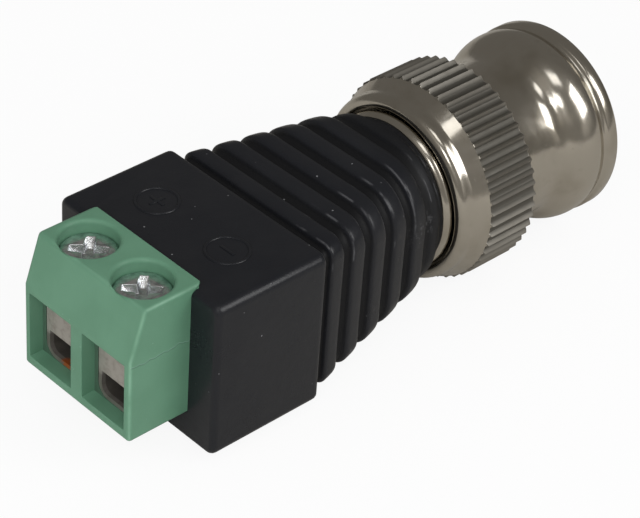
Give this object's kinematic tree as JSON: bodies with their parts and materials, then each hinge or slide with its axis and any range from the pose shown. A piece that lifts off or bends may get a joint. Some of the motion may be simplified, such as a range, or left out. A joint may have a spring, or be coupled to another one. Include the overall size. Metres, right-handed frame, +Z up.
{
  "type": "bnc screw terminal adapter",
  "caption": "Black moulded video plug with a round bayonet coupling nut at one end and a green screw terminal for wires at the other.",
  "frame": {"origin": "on the plug's axis, where the straight walls of the centre pin and the outer contact end", "axes": "+X along the plug's axis towards the mating end, +Z up, the side with the clamp screws, +Y towards the positive pole"},
  "size_m": [0.0415, 0.015, 0.0144],
  "materials": {
    "green_plastic": "satin moulded",
    "black_plastic": "satin moulded, lightly scuffed",
    "nickel_plate": "bright nickel plate on turned brass",
    "plated_steel": "plated folded strip",
    "zinc_screw": "bright zinc plate",
    "tinned_brass": "tinned",
    "gold_pin": "thin gold flash",
    "white_insulator": "natural white",
    "gasket_rubber": "matte",
    "spring_steel": "bright",
    "bare_copper": "bare, soldered ends",
    "wire_insulation": "smooth"
  },
  "bodies": {
    "adapter": {"terminal_housing": "green_plastic", "left_contact": "tinned_brass", "right_contact": "tinned_brass", "overmould_body": "black_plastic", "signal_wire": "bare_copper", "signal_sleeve": "wire_insulation", "ground_wire": "bare_copper", "plug_body": "nickel_plate", "outer_contact": "nickel_plate", "centre_pin": "gold_pin", "front_insulator": "white_insulator", "rear_insulator": "white_insulator", "front_gasket": "gasket_rubber", "retaining_ring": "spring_steel", "wave_washer": "spring_steel"},
    "nut_carrier": {"thrust_washer": "spring_steel"},
    "nut": {"coupling_nut": "nickel_plate"},
    "left_screw": {"left_clamp_screw": "zinc_screw"},
    "right_screw": {"right_clamp_screw": "zinc_screw"},
    "left_cage": {"left_clamp_cage": "plated_steel"},
    "right_cage": {"right_clamp_cage": "plated_steel"}
  },
  "joints": [
    {"name": "nut_draw", "type": "slide", "parent": "adapter", "child": "nut_carrier", "axis": [1, 0, 0], "range_m": [0, 0.0005], "stiffness_N_per_m": 10000, "deforming": ["wave_washer"]},
    {"name": "nut_turn", "type": "hinge", "parent": "nut_carrier", "child": "nut", "pos_m": [0, 0, 0], "axis": [1, 0, 0], "continuous": true},
    {"name": "left_screw_turn", "type": "hinge", "parent": "adapter", "child": "left_screw", "pos_m": [-0.0375, 0.00254, 0.0045], "axis": [0, 0, -1], "range_deg": [0, 1290]},
    {"name": "right_screw_turn", "type": "hinge", "parent": "adapter", "child": "right_screw", "pos_m": [-0.0375, -0.00254, 0.0045], "axis": [0, 0, -1], "range_deg": [0, 1290]},
    {"name": "left_cage_rise", "type": "slide", "parent": "adapter", "child": "left_cage", "axis": [0, 0, 1], "range_m": [0, 0.0016]},
    {"name": "right_cage_rise", "type": "slide", "parent": "adapter", "child": "right_cage", "axis": [0, 0, 1], "range_m": [0, 0.0016]}
  ],
  "couplings": [
    {"joint": "left_screw_turn", "follows": "left_cage_rise", "rad_per_m": 13963},
    {"joint": "right_screw_turn", "follows": "right_cage_rise", "rad_per_m": 13963}
  ]
}
